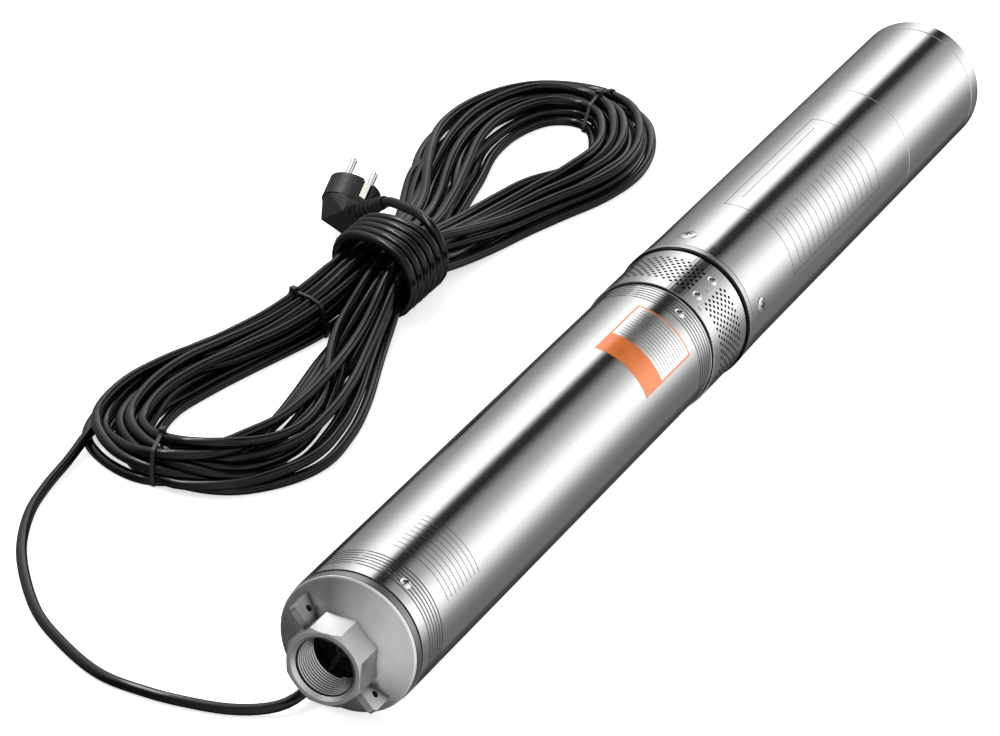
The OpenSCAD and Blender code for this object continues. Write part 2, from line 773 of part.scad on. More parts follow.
// Pressed channel that covers the cable along the casing and the strainer.
module cable_guard() {
  color("gainsboro") laid() difference() {
    clock(guard_clock) union() {
      translate([0, 0, guard_front]) linear_extrude(strainer_front - guard_front) guard_section(casing_r);
      translate([0, 0, strainer_front - 2]) linear_extrude(strainer_l + 2) guard_section(strainer_r);
    }
    for (side = [-1, 1], place = guard_screw_places)
      on_side(place[0], guard_clock + side * guard_screw_turn, place[1] - 4)
        cylinder(r = guard_screw[2] + fit, h = 8);
  }
}

// Four small screws of the cable guard.
module guard_screws() {
  color("white") laid() for (side = [-1, 1], place = guard_screw_places)
    on_side(place[0], guard_clock + side * guard_screw_turn, place[1] + fit + sheet_t)
      screw(guard_screw, fit + sheet_t + casing_wall);
}

// Cable under its guard, from the motor head to the open end of the guard.
module motor_lead() {
  bend = [[flange_front + 12, lead_in_r], [flange_front - 6, lead_in_r], [flange_front - 24, lead_in_r + 1.5],
    [strainer_front + 14, lead_r - 1.5], [strainer_front - 4, lead_r], [casing_front + 250, lead_r],
    [guard_front - 2, lead_r]];
  points = [for (p = bend) [p[0] - middle, p[1] * cos(guard_clock), axis_z + p[1] * sin(guard_clock)]];
  color("black") tube(smooth(points, 3), cable_d / 2, 8);
}

// Free cable: from the guard across the floor to the tied cable, and from the wraps to the plug.
module power_cord() {
  color("black") {
    tube(smooth(cord_route, 2), cable_d / 2, 8);
    tube(smooth(tail_route, 2), cable_d / 2, 8);
  }
}

// One lobe of the tied cable, seen from above, with its long opening.
module lobe(tip, waist) {
  lean = (waist - tip) / norm(waist - tip);
  difference() {
    hull() {
      translate(tip) circle(r = lobe_r, $fn = 32);
      translate(waist) circle(r = waist_r, $fn = 32);
    }
    hull() {
      translate(tip + opening_from * lean) circle(r = opening_r, $fn = 32);
      translate(tip + opening_l * lean) circle(r = opening_end_r, $fn = 16);
    }
  }
}

// Two lobes of the tied cable, cut off square at the wraps.
module cord_hank() {
  half = collar_l / 2;
  color("black") translate([0, 0, hank_z]) linear_extrude(hank_h) union() {
    intersection() {
      lobe(near_lobe, collar_at);
      translate([collar_at[0] - half - 600, 0]) square([600, 600]);
    }
    intersection() {
      lobe(far_lobe, collar_at);
      translate([collar_at[0] + half, 0]) square([600, 600]);
    }
  }
}

// Wraps of cable round the waist, wider than they are high.
module hank_collar() {
  outline = [for (k = [0 : 47]) let (a = (k + 0.5) * 7.5) [collar_h / 2 * cos(a), collar_w / 2 * sin(a)]];
  color("black") translate([collar_at[0] - collar_l / 2, collar_at[1], collar_h / 2]) rotate([0, 90, 0])
    linear_extrude(collar_l) polygon(outline);
}

// Three ties round the bundle, one at each tip and one beside the wraps.
module cable_ties() {
  band_w = 3;
  clear = 0.3;
  band_t = 1;
  tip_w = lobe_r + opening_from - opening_r;
  limb_lean = (outer_lean + inner_lean) / 2;
  limb_w = (limb_outer - limb_inner) * cos(limb_lean) + 0.6;
  way = collar_at - near_lobe;
  color("black") {
    translate([near_lobe[0] - lobe_r + tip_w / 2, near_lobe[1]]) tie(tip_w + 2 * clear, band_w, band_t);
    translate([far_lobe[0] + lobe_r - tip_w / 2, far_lobe[1]]) tie(tip_w + 2 * clear, band_w, band_t);
    translate(near_lobe) rotate([0, 0, atan2(way[1], way[0])])
      translate([side_tie_way, (limb_outer + limb_inner) / 2]) rotate([0, 0, 90 - limb_lean])
        tie(limb_w + 2 * clear, band_w, band_t);
  }
}

// Flat band round a bundle that runs along Y.
module tie(w, band_w, band_t) {
  h = hank_h + 0.6;
  z = hank_z - 0.3;
  translate([0, 0, z + h / 2]) rotate([90, 0, 0]) linear_extrude(band_w, center = true) difference() {
    square([w + 2 * band_t, h + 2 * band_t], center = true);
    square([w, h], center = true);
  }
}

// Stands the plug on the floor, its pins along the piece's own Z and its cable towards X.
module at_plug() {
  translate(plug_at) rotate([0, plug_tilt, 0]) rotate([0, 0, plug_roll]) children();
}

// Moulded angled plug: round front with two earth recesses and a sloping back.
module plug_body() {
  color("black") at_plug() difference() {
    union() {
      translate([0, 0, -17]) cylinder(r = plug_r, h = 17);
      hull() {
        translate([0, 0, -18]) cylinder(r = plug_r - 1, h = 2, $fn = 32);
        translate([-8, -11, -33]) cube([boot_start + 8, 22, 10]);
      }
    }
    for (side = [0, 180]) rotate([0, 0, side]) translate([plug_r - 3, -4, -14]) cube([5, 8, 15]);
  }
}

// Two round pins and the two earth contacts.
module plug_contacts() {
  color("white") at_plug() {
    for (side = [-1, 1]) translate([0, side * 9.5, 0]) union() {
      cylinder(r = 2.4, h = 17.5);
      translate([0, 0, 17]) cylinder(r1 = 2.4, r2 = 1.4, h = 2);
    }
    for (side = [0, 180]) rotate([0, 0, side]) translate([plug_r - 2.9, -2.5, -13.9]) cube([1.4, 5, 13]);
  }
}

// Ribbed strain relief of the plug.
module plug_boot() {
  ribs = 6;
  color("black") at_plug() translate([boot_start, 0, boot_at]) rotate([0, 90, 0]) difference() {
    union() {
      cylinder(r1 = 6, r2 = cable_d / 2 + 1, h = boot_l);
      for (k = [0 : ribs - 1]) translate([0, 0, 3 + k * 5.4]) cylinder(r = 6.8 - k * 0.35, h = 2.6);
    }
    translate([0, 0, boot_l - boot_socket]) cylinder(r = cable_d / 2 + fit, h = boot_socket + 1);
  }
}

discharge_head();
valve_guide();
valve_spring();
valve_poppet();
valve_seat();
pump_casing();
casing_screws();
top_bearing_spider();
top_bearing_bush();
pump_shaft();
shaft_nut();
for (i = [1 : stage_count]) {
  impeller(i - 1);
  diffuser(i - 1);
}
suction_bracket();
strainer();
strainer_screws();
shaft_coupling();
sand_guard();
motor_head();
seal_seat();
seal_ring();
bearing_outer_rings();
bearing_inner_rings();
bearing_balls();
motor_shaft();
rotor_core();
stator_core();
stator_windings();
motor_tube();
motor_screws();
lower_bracket();
lower_housing();
capacitor();
end_cap();
o_rings();
cable_guard();
guard_screws();
motor_lead();
power_cord();
cord_hank();
hank_collar();
cable_ties();
plug_body();
plug_contacts();
plug_boot();
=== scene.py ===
import math

import bmesh
import bpy
import numpy as np
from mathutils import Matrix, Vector, kdtree


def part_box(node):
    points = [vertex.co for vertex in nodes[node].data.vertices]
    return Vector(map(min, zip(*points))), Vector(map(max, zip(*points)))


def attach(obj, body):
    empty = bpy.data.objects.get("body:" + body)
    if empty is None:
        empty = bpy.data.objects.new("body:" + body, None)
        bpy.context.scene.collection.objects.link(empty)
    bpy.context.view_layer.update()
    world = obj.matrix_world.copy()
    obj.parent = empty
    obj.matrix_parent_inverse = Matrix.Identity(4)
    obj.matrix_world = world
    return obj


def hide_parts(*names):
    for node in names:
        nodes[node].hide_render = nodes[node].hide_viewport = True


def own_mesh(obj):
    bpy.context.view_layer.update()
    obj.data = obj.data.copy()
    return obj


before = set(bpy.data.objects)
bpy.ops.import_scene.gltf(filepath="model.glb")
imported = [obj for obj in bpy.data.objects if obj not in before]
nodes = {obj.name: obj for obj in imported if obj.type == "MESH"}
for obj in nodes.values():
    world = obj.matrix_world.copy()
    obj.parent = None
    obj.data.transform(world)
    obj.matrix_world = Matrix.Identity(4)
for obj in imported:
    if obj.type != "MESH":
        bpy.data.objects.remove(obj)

scene = bpy.context.scene
scene.view_settings.view_transform = "Standard"
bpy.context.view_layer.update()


# Camera
# A long lens in front of the outlet, a little above the pump and to its right,
# so the pump runs up the picture and the tied cable lies to its left.
CAMERA_AT = (-2.7865, -1.2114, 1.5482)
CAMERA_AIM = (0.8076, 0.3842, -0.4474)
camera = bpy.data.objects.new("camera", bpy.data.cameras.new("camera"))
camera.data.lens = 183.15
camera.data.sensor_width = 36.0
camera.data.clip_end = 60.0
camera.location = CAMERA_AT
camera.rotation_mode = "QUATERNION"
camera.rotation_quaternion = Vector(CAMERA_AIM).to_track_quat("-Z", "Y")
scene.collection.objects.link(camera)
scene.camera = camera


# Studio
# A white floor, one wide softbox overhead, and long strip lights on both sides with
# dark gaps between them, which draw the bright and dark lines along polished tube.
def linear(code):
    """Linear colour of an sRGB hex value."""
    parts = [int(code[i:i + 2], 16) / 255 for i in (1, 3, 5)]
    return [c / 12.92 if c <= 0.04045 else ((c + 0.055) / 1.055) ** 2.4 for c in parts] + [1.0]


def add(tree, kind, settings=None, inputs=None):
    """Adds a shader node with its settings, and values or links for its sockets."""
    node = tree.nodes.new("ShaderNode" + kind)
    for name, value in (settings or {}).items():
        setattr(node, name, value)
    for key, value in (inputs or {}).items():
        if isinstance(value, bpy.types.NodeSocket):
            tree.links.new(value, node.inputs[key])
        else:
            node.inputs[key].default_value = value
    return node


# Light round the pump's length, as degrees from +Y over the top, and brightness.
STRIP_LIGHTS = [(-180, 1.50), (-174, 1.25), (-158, 0.66), (-146, 0.33), (-125, 0.20), (-102, 0.20),
                (-94, 0.10), (-80, 0.05), (-50, 0.08), (-25, 0.12), (-6, 0.28), (18, 0.42), (32, 0.7),
                (44, 1.1), (56, 1.5), (77, 1.55), (84, 0.3), (88, 0.02), (100, 0.02), (106, 0.14),
                (114, 0.36), (130, 0.58), (144, 1.0), (156, 1.45), (170, 1.6), (180, 1.50)]
STRIP_PEAK = max(level for _, level in STRIP_LIGHTS)
world = bpy.data.worlds.new("studio")
world.use_nodes = True
scene.world = world
tree = world.node_tree
tree.nodes.clear()
ray = add(tree, "SeparateXYZ", {}, {0: add(tree, "TexCoord").outputs["Generated"]})
turn = add(tree, "Math", {"operation": "ARCTAN2"}, {0: ray.outputs["Z"], 1: ray.outputs["Y"]})
share = add(tree, "MapRange", {}, {"Value": turn.outputs[0], "From Min": -math.pi, "From Max": math.pi})
strips = add(tree, "ValToRGB", {}, {0: share.outputs[0]})
stops = strips.color_ramp.elements
while len(stops) < len(STRIP_LIGHTS):
    stops.new(0.5)
for stop, (angle, level) in zip(stops, STRIP_LIGHTS):
    stop.position = (angle + 180) / 360
    stop.color = [level / STRIP_PEAK] * 3 + [1.0]
strip_light = add(tree, "Background", {}, {"Color": strips.outputs[0], "Strength": STRIP_PEAK})
# Behind the camera a plain wall, paler towards the right, fills the faces that look at it.
wall = add(tree, "MapRange", {}, {"Value": ray.outputs["Y"], "From Min": 0.65, "From Max": -0.45,
                                  "To Min": 0.1, "To Max": 1.0})
wall_light = add(tree, "Background", {}, {"Color": linear("#ffffff"), "Strength": wall.outputs[0]})
behind = add(tree, "MapRange", {}, {"Value": ray.outputs["X"], "From Min": -0.3, "From Max": -0.6})
studio_light = add(tree, "MixShader", {}, {0: behind.outputs[0], 1: strip_light.outputs[0],
                                           2: wall_light.outputs[0]})
backdrop = add(tree, "Background", {}, {"Color": linear("#ffffff"), "Strength": 1.0})
seen = add(tree, "LightPath")
either = add(tree, "MixShader", {}, {0: seen.outputs["Is Camera Ray"], 1: studio_light.outputs[0],
                                     2: backdrop.outputs[0]})
add(tree, "OutputWorld", {}, {"Surface": either.outputs[0]})


def lamp(name, watts, size, at, towards):
    """Rectangular soft lamp at a place, facing a point."""
    made = bpy.data.objects.new(name, bpy.data.lights.new(name, "AREA"))
    made.data.shape = "RECTANGLE"
    made.data.size, made.data.size_y = size
    made.data.energy = watts
    made.location = at
    made.rotation_mode = "QUATERNION"
    made.rotation_quaternion = (Vector(towards) - Vector(at)).to_track_quat("-Z", "Y")
    scene.collection.objects.link(made)


lamp("softbox", 10.0, (2.4, 1.6), (-0.2, 0.3, 2.5), (0.0, 0.1, 0.0))
lamp("strip_lamp", 36.0, (2.6, 0.22), (0.0, 1.6, 2.6), (0.0, 0.1, 0.0))


def surface(name, **values):
    """New material with one Principled surface, and its node tree."""
    made = bpy.data.materials.new(name)
    made.use_nodes = True
    made.node_tree.nodes.clear()
    shader = add(made.node_tree, "BsdfPrincipled", {}, {k.replace("_", " "): v for k, v in values.items()})
    add(made.node_tree, "OutputMaterial", {}, {"Surface": shader.outputs[0]})
    return made, made.node_tree, shader


def piece(name, mesh, materials, body="housing"):
    """New object from a bmesh, with its materials, on a body of the pump."""
    data = bpy.data.meshes.new(name)
    mesh.to_mesh(data)
    mesh.free()
    made = bpy.data.objects.new(name, data)
    scene.collection.objects.link(made)
    for material in materials:
        data.materials.append(material)
    if body:
        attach(made, body)
    return made


# The paper reads white in the picture and keeps the soft shadow under the pump.
PAPER_GLOW = 0.65
FLOOR_REACH = 14.0
paper, tree, shader = surface("seamless_paper", Base_Color=linear("#f6f6f6"), Roughness=0.9,
                              Specular_IOR_Level=0.0, Emission_Color=linear("#ffffff"))
seen = add(tree, "LightPath")
glow = add(tree, "Math", {"operation": "MULTIPLY"}, {0: seen.outputs["Is Camera Ray"], 1: PAPER_GLOW})
tree.links.new(glow.outputs[0], shader.inputs["Emission Strength"])
mesh = bmesh.new()
bmesh.ops.create_grid(mesh, x_segments=1, y_segments=1, size=FLOOR_REACH)
floor = piece("floor", mesh, [paper], body=None)
floor.visible_glossy = False


# Discharge head
# An investment casting in stainless steel, blasted to a satin grain after casting.
# The outlet is bored and tapped, and two drilled lugs carry the safety rope.
AXIS_Z = 0.0489
EVEN = (1.0, 1.0, 1.0)
# Most of a noise lies between these two values.
NOISE_LOW, NOISE_HIGH = 0.3, 0.7
# Colour sockets of a mix node.
MIX_BELOW, MIX_ABOVE, MIX_RESULT = 6, 7, 2


def finish(material, *names):
    """Gives CAD nodes their real finish."""
    for name in names:
        nodes[name].data.materials.clear()
        nodes[name].data.materials.append(material)


def mottle(tree, stretch, scale, detail=3.0):
    """Noise in the object's own metres, stretched along its axes."""
    place = add(tree, "Mapping", {}, {"Vector": add(tree, "TexCoord").outputs["Object"], "Scale": stretch})
    noise = add(tree, "TexNoise", {}, {"Vector": place.outputs[0], "Scale": scale, "Detail": detail})
    return noise.outputs["Fac"]


def vary(tree, shader, socket, noise, low, high):
    """One value of a surface, spread between two limits by a noise."""
    spread = add(tree, "MapRange", {}, {"Value": noise, "From Min": NOISE_LOW, "From Max": NOISE_HIGH,
                                        "To Min": low, "To Max": high})
    tree.links.new(spread.outputs[0], shader.inputs[socket])


def shade(tree, shader, noise, dark, light):
    """Colour of a surface, between two tones."""
    tones = add(tree, "ValToRGB", {}, {0: noise})
    for stop, position, tone in zip(tones.color_ramp.elements, (NOISE_LOW, NOISE_HIGH), (dark, light)):
        stop.position = position
        stop.color = linear(tone)
    tree.links.new(tones.outputs[0], shader.inputs["Base Color"])


def relief(tree, shader, height, depth, strength):
    """Fine relief of a surface, of a depth in metres."""
    bump = add(tree, "Bump", {}, {"Height": height, "Distance": depth, "Strength": strength})
    tree.links.new(bump.outputs[0], shader.inputs["Normal"])


def overlay(tree, shader, share, tone):
    """Lays another tone over the colour of a surface, by a share."""
    plain = shader.inputs["Base Color"].links[0].from_socket
    mixed = add(tree, "Mix", {"data_type": "RGBA"}, {0: share, MIX_BELOW: plain, MIX_ABOVE: linear(tone)})
    tree.links.new(mixed.outputs[MIX_RESULT], shader.inputs["Base Color"])


def paint(tree, shader, middle, reach, tone):
    """Gives the part of a surface near one place along the pump another tone."""
    place = add(tree, "SeparateXYZ", {}, {0: add(tree, "TexCoord").outputs["Object"]})
    inside = add(tree, "Math", {"operation": "COMPARE"}, {0: place.outputs["X"], 1: middle, 2: reach})
    overlay(tree, shader, inside.outputs[0], tone)


def soften(name, width, angle=32.0):
    """Rounds the sharp edges of a CAD node by a width in metres."""
    join = nodes[name].modifiers.new("join", "WELD")
    join.merge_threshold = 0.00001
    flats = nodes[name].modifiers.new("flats", "DECIMATE")
    flats.decimate_type = "DISSOLVE"
    flats.angle_limit = math.radians(0.5)
    edges = nodes[name].modifiers.new("edges", "BEVEL")
    edges.width = width
    edges.segments = 2
    edges.limit_method = "ANGLE"
    edges.angle_limit = math.radians(angle)
    nodes[name].modifiers.new("normals", "WEIGHTED_NORMAL").keep_sharp = True


blasted, tree, shader = surface("bead_blasted_casting", Metallic=1.0)
cloud = mottle(tree, EVEN, 70.0)
shade(tree, shader, cloud, "#bcbcbc", "#cbcbca")
vary(tree, shader, "Roughness", cloud, 0.32, 0.4)
relief(tree, shader, mottle(tree, EVEN, 2600.0), 0.00012, 0.35)
# The corners round the boss and the lugs are painted darker by ambient occlusion, as painted shade.
CORNER_SHADE_REACH = 0.008
corner_shade = add(tree, "AmbientOcclusion", {"samples": 8}, {"Distance": CORNER_SHADE_REACH})
depth = add(tree, "MapRange", {}, {"Value": corner_shade.outputs["AO"], "From Min": 0.9, "From Max": 0.4})
overlay(tree, shader, depth.outputs[0], "#3d3d3c")
# The side of the flange is painted darker, a thin dark line behind its face is a painted shadow of the gap to
# the casing, and its rim is a painted highlight.
FLANGE_FACE = -0.451
FLANGE_BANDS = [(0.0041, 0.0032, "#8b8b8a"), (0.0016, 0.0004, "#5a5a59"), (0.0005, 0.0006, "#f2f2f1")]
for behind_face, reach, tone in FLANGE_BANDS:
    paint(tree, shader, FLANGE_FACE + behind_face, reach, tone)
finish(blasted, "discharge_head")
soften("discharge_head", width=0.0005)

# The pipe thread: 1 1/4 inch, 11 turns to the inch, cut by the tap and left bright.
THREAD_PITCH = 0.002309
THREAD_TURNS = 9.5
THREAD_STEPS = 48
THREAD_START = -0.4812
THREAD_ROOT, THREAD_CREST = 0.01945, 0.01825
# One turn of the thread, as shares of its pitch and radii.
THREAD_FORM = [(0.0, THREAD_ROOT), (0.45, THREAD_CREST), (0.55, THREAD_CREST), (1.0, THREAD_ROOT)]
machined, tree, shader = surface("machined_steel", Metallic=1.0)
turned = mottle(tree, (60.0, 2.0, 2.0), 40.0)
vary(tree, shader, "Roughness", turned, 0.18, 0.3)
relief(tree, shader, turned, 0.00004, 0.3)
# The roots and flanks of the thread are painted dark as shade, and its crests keep the bright steel colour.
place = add(tree, "SeparateXYZ", {}, {0: add(tree, "TexCoord").outputs["Object"]})
height = add(tree, "Math", {"operation": "SUBTRACT"}, {0: place.outputs["Z"], 1: AXIS_Z})
outward = add(tree, "CombineXYZ", {}, {"Y": place.outputs["Y"], "Z": height.outputs[0]})
distance = add(tree, "VectorMath", {"operation": "LENGTH"}, {0: outward.outputs[0]})
depth = add(tree, "MapRange", {}, {"Value": distance.outputs["Value"], "From Min": THREAD_ROOT,
                                   "From Max": THREAD_CREST, "To Min": 0.05, "To Max": NOISE_HIGH})
shade(tree, shader, depth.outputs[0], "#1c1c1c", "#d8d8d7")
mesh = bmesh.new()
profile = [mesh.verts.new((THREAD_START + THREAD_PITCH * along, 0.0, AXIS_Z + radius))
           for along, radius in THREAD_FORM]
flanks = [mesh.edges.new(pair) for pair in zip(profile, profile[1:])]
bmesh.ops.spin(mesh, geom=profile + flanks, cent=(0, 0, AXIS_Z), axis=(1, 0, 0),
               dvec=(THREAD_PITCH / THREAD_STEPS, 0, 0), angle=THREAD_TURNS * 2 * math.pi,
               steps=round(THREAD_TURNS * THREAD_STEPS))
bmesh.ops.remove_doubles(mesh, verts=mesh.verts, dist=0.000005)
thread = piece("outlet_thread", mesh, [machined])


# Check valve
# A moulded guide holds the stem of a rubber-faced disc, and a stainless spring
# closes it on a turned seat. It is dark inside the outlet.
black_moulding, tree, shader = surface("black_moulded_plastic")
cloud = mottle(tree, EVEN, 120.0)
shade(tree, shader, cloud, "#131313", "#1b1b1b")
vary(tree, shader, "Roughness", cloud, 0.5, 0.62)
relief(tree, shader, mottle(tree, EVEN, 1500.0), 0.0001, 0.2)
seal_rubber, tree, shader = surface("nitrile_rubber")
cloud = mottle(tree, EVEN, 150.0)
shade(tree, shader, cloud, "#0d0d0d", "#151515")
vary(tree, shader, "Roughness", cloud, 0.6, 0.75)
bright_bar, tree, shader = surface("bright_stainless_bar", Metallic=1.0)
turned = mottle(tree, (20.0, 2.0, 2.0), 60.0)
shade(tree, shader, turned, "#c4c4c3", "#d6d6d5")
vary(tree, shader, "Roughness", turned, 0.2, 0.32)
finish(black_moulding, "valve_guide")
finish(seal_rubber, "valve_poppet")
finish(bright_bar, "valve_spring", "valve_seat")
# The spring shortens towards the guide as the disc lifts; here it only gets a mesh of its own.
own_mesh(nodes["valve_spring"])


# Pump stages
# Eight impellers on a six-sided shaft, each in a moulded diffuser, stacked in the
# casing under a spider that carries the rubber upper bearing.
STAGES = range(1, 9)
impeller_plastic, tree, shader = surface("glass_filled_plastic")
cloud = mottle(tree, EVEN, 200.0)
shade(tree, shader, cloud, "#c9c3b2", "#d6d1c3")
vary(tree, shader, "Roughness", cloud, 0.45, 0.6)
brass, tree, shader = surface("turned_brass", Metallic=1.0)
turned = mottle(tree, (30.0, 2.0, 2.0), 60.0)
shade(tree, shader, turned, "#b8964f", "#cbab66")
vary(tree, shader, "Roughness", turned, 0.24, 0.36)
finish(impeller_plastic, *[f"impeller_{stage}" for stage in STAGES])
finish(black_moulding, "top_bearing_spider", *[f"diffuser_{stage}" for stage in STAGES])
finish(seal_rubber, "top_bearing_bush")
finish(bright_bar, "pump_shaft", "shaft_coupling")
finish(brass, "shaft_nut")


# Pump casing
# Welded stainless tube with rings rolled in near both ends. It was brushed on a lathe,
# so the fine scratches run round it. One screw at each end holds the castings.
brushed, tree, shader = surface("brushed_stainless_tube", Metallic=1.0)
scratches = mottle(tree, (60.0, 1.0, 1.0), 60.0, 4.0)
shade(tree, shader, scratches, "#d0d0cf", "#dadad9")
vary(tree, shader, "Roughness", scratches, 0.1, 0.16)
relief(tree, shader, mottle(tree, (60.0, 1.0, 1.0), 120.0), 0.00003, 0.1)
# Six grooves are rolled in near each end, and they are painted dark as the shade in them.
RING_COUNT, RING_PITCH, RING_WIDTH = 6, 0.0033, 0.0011
RING_FROM_FRONT, RING_FROM_BACK = 0.0095, 0.0025
casing_low, casing_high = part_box("pump_casing")
for first in (casing_low[0] + RING_FROM_FRONT,
              casing_high[0] - RING_FROM_BACK - (RING_COUNT - 1) * RING_PITCH):
    for ring in range(RING_COUNT):
        paint(tree, shader, first + ring * RING_PITCH, RING_WIDTH / 2, "#4c4c4b")
finish(brushed, "pump_casing", "motor_tube", "lower_housing", "end_cap")
# Screw heads are polished, and their recesses and the edges under their rims are painted dark by ambient
# occlusion, as painted shade.
SCREW_RECESS = 0.003
screw_steel, tree, shader = surface("polished_screw_steel", Metallic=1.0)
recess = add(tree, "AmbientOcclusion", {"samples": 8}, {"Distance": SCREW_RECESS})
depth = add(tree, "MapRange", {}, {"Value": recess.outputs["AO"], "From Min": 0.6, "From Max": 0.95,
                                   "To Min": NOISE_LOW, "To Max": NOISE_HIGH})
shade(tree, shader, depth.outputs[0], "#0c0c0c", "#d8d8d7")
vary(tree, shader, "Roughness", mottle(tree, EVEN, 900.0), 0.08, 0.16)
finish(screw_steel, "casing_screws", "strainer_screws", "motor_screws", "guard_screws")
for name in ("motor_tube", "lower_housing", "end_cap", "motor_head"):
    soften(name, width=0.0006)
CASING_R = 0.0462
STRIP_STEP = 3.0


def on_tube(mesh, x, clock, radius, material=0):
    """Adds a curved strip on a tube to a mesh, between two places and two clock angles."""
    steps = max(1, round((clock[1] - clock[0]) / STRIP_STEP))
    made = bmesh.ops.create_grid(mesh, x_segments=1, y_segments=steps, size=0.5)["verts"]
    for vert in made:
        angle = math.radians(clock[1] + (clock[0] - clock[1]) * (vert.co.y + 0.5))
        along = x[0] + (x[1] - x[0]) * (vert.co.x + 0.5)
        vert.co = (along, radius * math.cos(angle), AXIS_Z + radius * math.sin(angle))
    for face in {face for vert in made for face in vert.link_faces}:
        face.material_index = material
        face.smooth = True


def on_tube_frame(mesh, x, clock, radius, line, material=0):
    """Adds a thin rectangular frame on a tube, with lines of one width."""
    turn = math.degrees(line / radius)
    on_tube(mesh, x, (clock[0], clock[0] + turn), radius, material)
    on_tube(mesh, x, (clock[1] - turn, clock[1]), radius, material)
    for place in (x[0], x[1] - line):
        on_tube(mesh, (place, place + line), (clock[0] + turn, clock[1] - turn), radius, material)


# A plain blank label of silver film, with an orange edge, an orange band and empty lines.
LABEL_X, LABEL_CLOCK = (-0.110, -0.041), (97.0, 158.0)
LABEL_BAND, LABEL_EDGE, LABEL_EDGE_CLOCK = 0.025, 0.0013, 1.6
LABEL_LINES, LABEL_LINE_FROM, LABEL_LINE_PITCH, LABEL_LINE_WIDTH = 11, 0.0035, 0.0036, 0.0005
LABEL_LINE_CLOCK = (LABEL_CLOCK[0] + 5, LABEL_CLOCK[1] - 5)
FILM_R, PRINT_R = CASING_R + 0.00006, CASING_R + 0.00009
film, tree, shader = surface("silver_label_film", Metallic=0.95)
cloud = mottle(tree, EVEN, 90.0)
shade(tree, shader, cloud, "#e4e4e2", "#ececea")
vary(tree, shader, "Roughness", cloud, 0.2, 0.26)
orange, tree, shader = surface("orange_print", Metallic=0.6, Coat_Weight=1.0, Coat_Roughness=0.14)
cloud = mottle(tree, EVEN, 90.0)
shade(tree, shader, cloud, "#ee7826", "#f48432")
vary(tree, shader, "Roughness", cloud, 0.36, 0.44)
grey_print, tree, shader = surface("grey_print", Metallic=0.2)
cloud = mottle(tree, EVEN, 400.0)
shade(tree, shader, cloud, "#474746", "#555554")
vary(tree, shader, "Roughness", cloud, 0.45, 0.55)
mesh = bmesh.new()
on_tube(mesh, LABEL_X, LABEL_CLOCK, FILM_R)
on_tube_frame(mesh, LABEL_X, LABEL_CLOCK, PRINT_R, LABEL_EDGE, 1)
on_tube(mesh, (LABEL_X[0] + LABEL_EDGE, LABEL_X[0] + LABEL_BAND),
        (LABEL_CLOCK[0] + LABEL_EDGE_CLOCK, LABEL_CLOCK[1] - LABEL_EDGE_CLOCK), PRINT_R, 1)
for line in range(LABEL_LINES):
    at = LABEL_X[0] + LABEL_BAND + LABEL_LINE_FROM + line * LABEL_LINE_PITCH
    on_tube(mesh, (at, at + LABEL_LINE_WIDTH), LABEL_LINE_CLOCK, PRINT_R, 2)
label = piece("blank_label", mesh, [film, orange, grey_print])

# Plain etched lines near the outlet.
ETCH_LIFT, ETCH_WIDTH = 0.00005, 0.0004
ETCH_LINES, ETCH_FROM, ETCH_PITCH, ETCH_CLOCK = 9, -0.403, 0.0052, (99.0, 160.0)
etched, tree, shader = surface("etched_steel", Metallic=0.7)
cloud = mottle(tree, EVEN, 500.0)
shade(tree, shader, cloud, "#4a4a49", "#5c5c5b")
vary(tree, shader, "Roughness", cloud, 0.5, 0.65)
mesh = bmesh.new()
for line in range(ETCH_LINES):
    at = ETCH_FROM + line * ETCH_PITCH
    on_tube(mesh, (at, at + ETCH_WIDTH), ETCH_CLOCK, CASING_R + ETCH_LIFT)
casing_marks = piece("casing_etched_lines", mesh, [etched])


# Strainer
# Thin stainless sheet, perforated in slanting rows, rolled round the suction bracket,
# lapped at a plain strip and held there by two screws.
polished, tree, shader = surface("polished_stainless_sheet", Metallic=1.0)
rolled = mottle(tree, (40.0, 1.0, 1.0), 50.0)
shade(tree, shader, rolled, "#d2d2d1", "#dededd")
vary(tree, shader, "Roughness", rolled, 0.12, 0.2)
finish(polished, "strainer")
# The guard over the cable is folded from mill finished sheet, duller than the tube.
mill_sheet, tree, shader = surface("mill_finished_sheet", Metallic=1.0)
rolled = mottle(tree, (1.0, 40.0, 40.0), 50.0)
shade(tree, shader, rolled, "#868685", "#969695")
vary(tree, shader, "Roughness", rolled, 0.3, 0.4)
finish(mill_sheet, "cable_guard")
# Two spot welds between the screws, and the mark of a slit beside them.
STRAINER_R = 0.04765
WELDS = [(0.0187, 122.8), (0.0153, 129.6)]
WELD_R = 0.0019
SLIT_X, SLIT_CLOCK = (-0.0055, -0.0048), (133.0, 138.0)
welded, tree, shader = surface("spot_weld", Metallic=1.0)
ripple = mottle(tree, EVEN, 700.0)
shade(tree, shader, ripple, "#a9a9a8", "#cfcfce")
vary(tree, shader, "Roughness", ripple, 0.3, 0.45)
relief(tree, shader, ripple, 0.0002, 0.5)
mesh = bmesh.new()
for x, clock in WELDS:
    for vert in bmesh.ops.create_circle(mesh, cap_ends=True, segments=24, radius=WELD_R)["verts"]:
        angle = math.radians(clock) - vert.co.y / STRAINER_R
        vert.co = (x + vert.co.x, STRAINER_R * math.cos(angle), AXIS_Z + STRAINER_R * math.sin(angle))
on_tube(mesh, SLIT_X, SLIT_CLOCK, STRAINER_R, 1)
weld_marks = piece("strainer_spot_welds", mesh, [welded, etched])


# Castings between pump and motor
# The suction bracket shows through the holes of the strainer and is left rough from the
# mould. The motor head is turned, and its flange shows as a bright ring.
cast, tree, shader = surface("machined_casting", Metallic=1.0)
cloud = mottle(tree, (20.0, 1.0, 1.0), 80.0)
shade(tree, shader, cloud, "#bfbfbe", "#cfcfce")
vary(tree, shader, "Roughness", cloud, 0.24, 0.36)
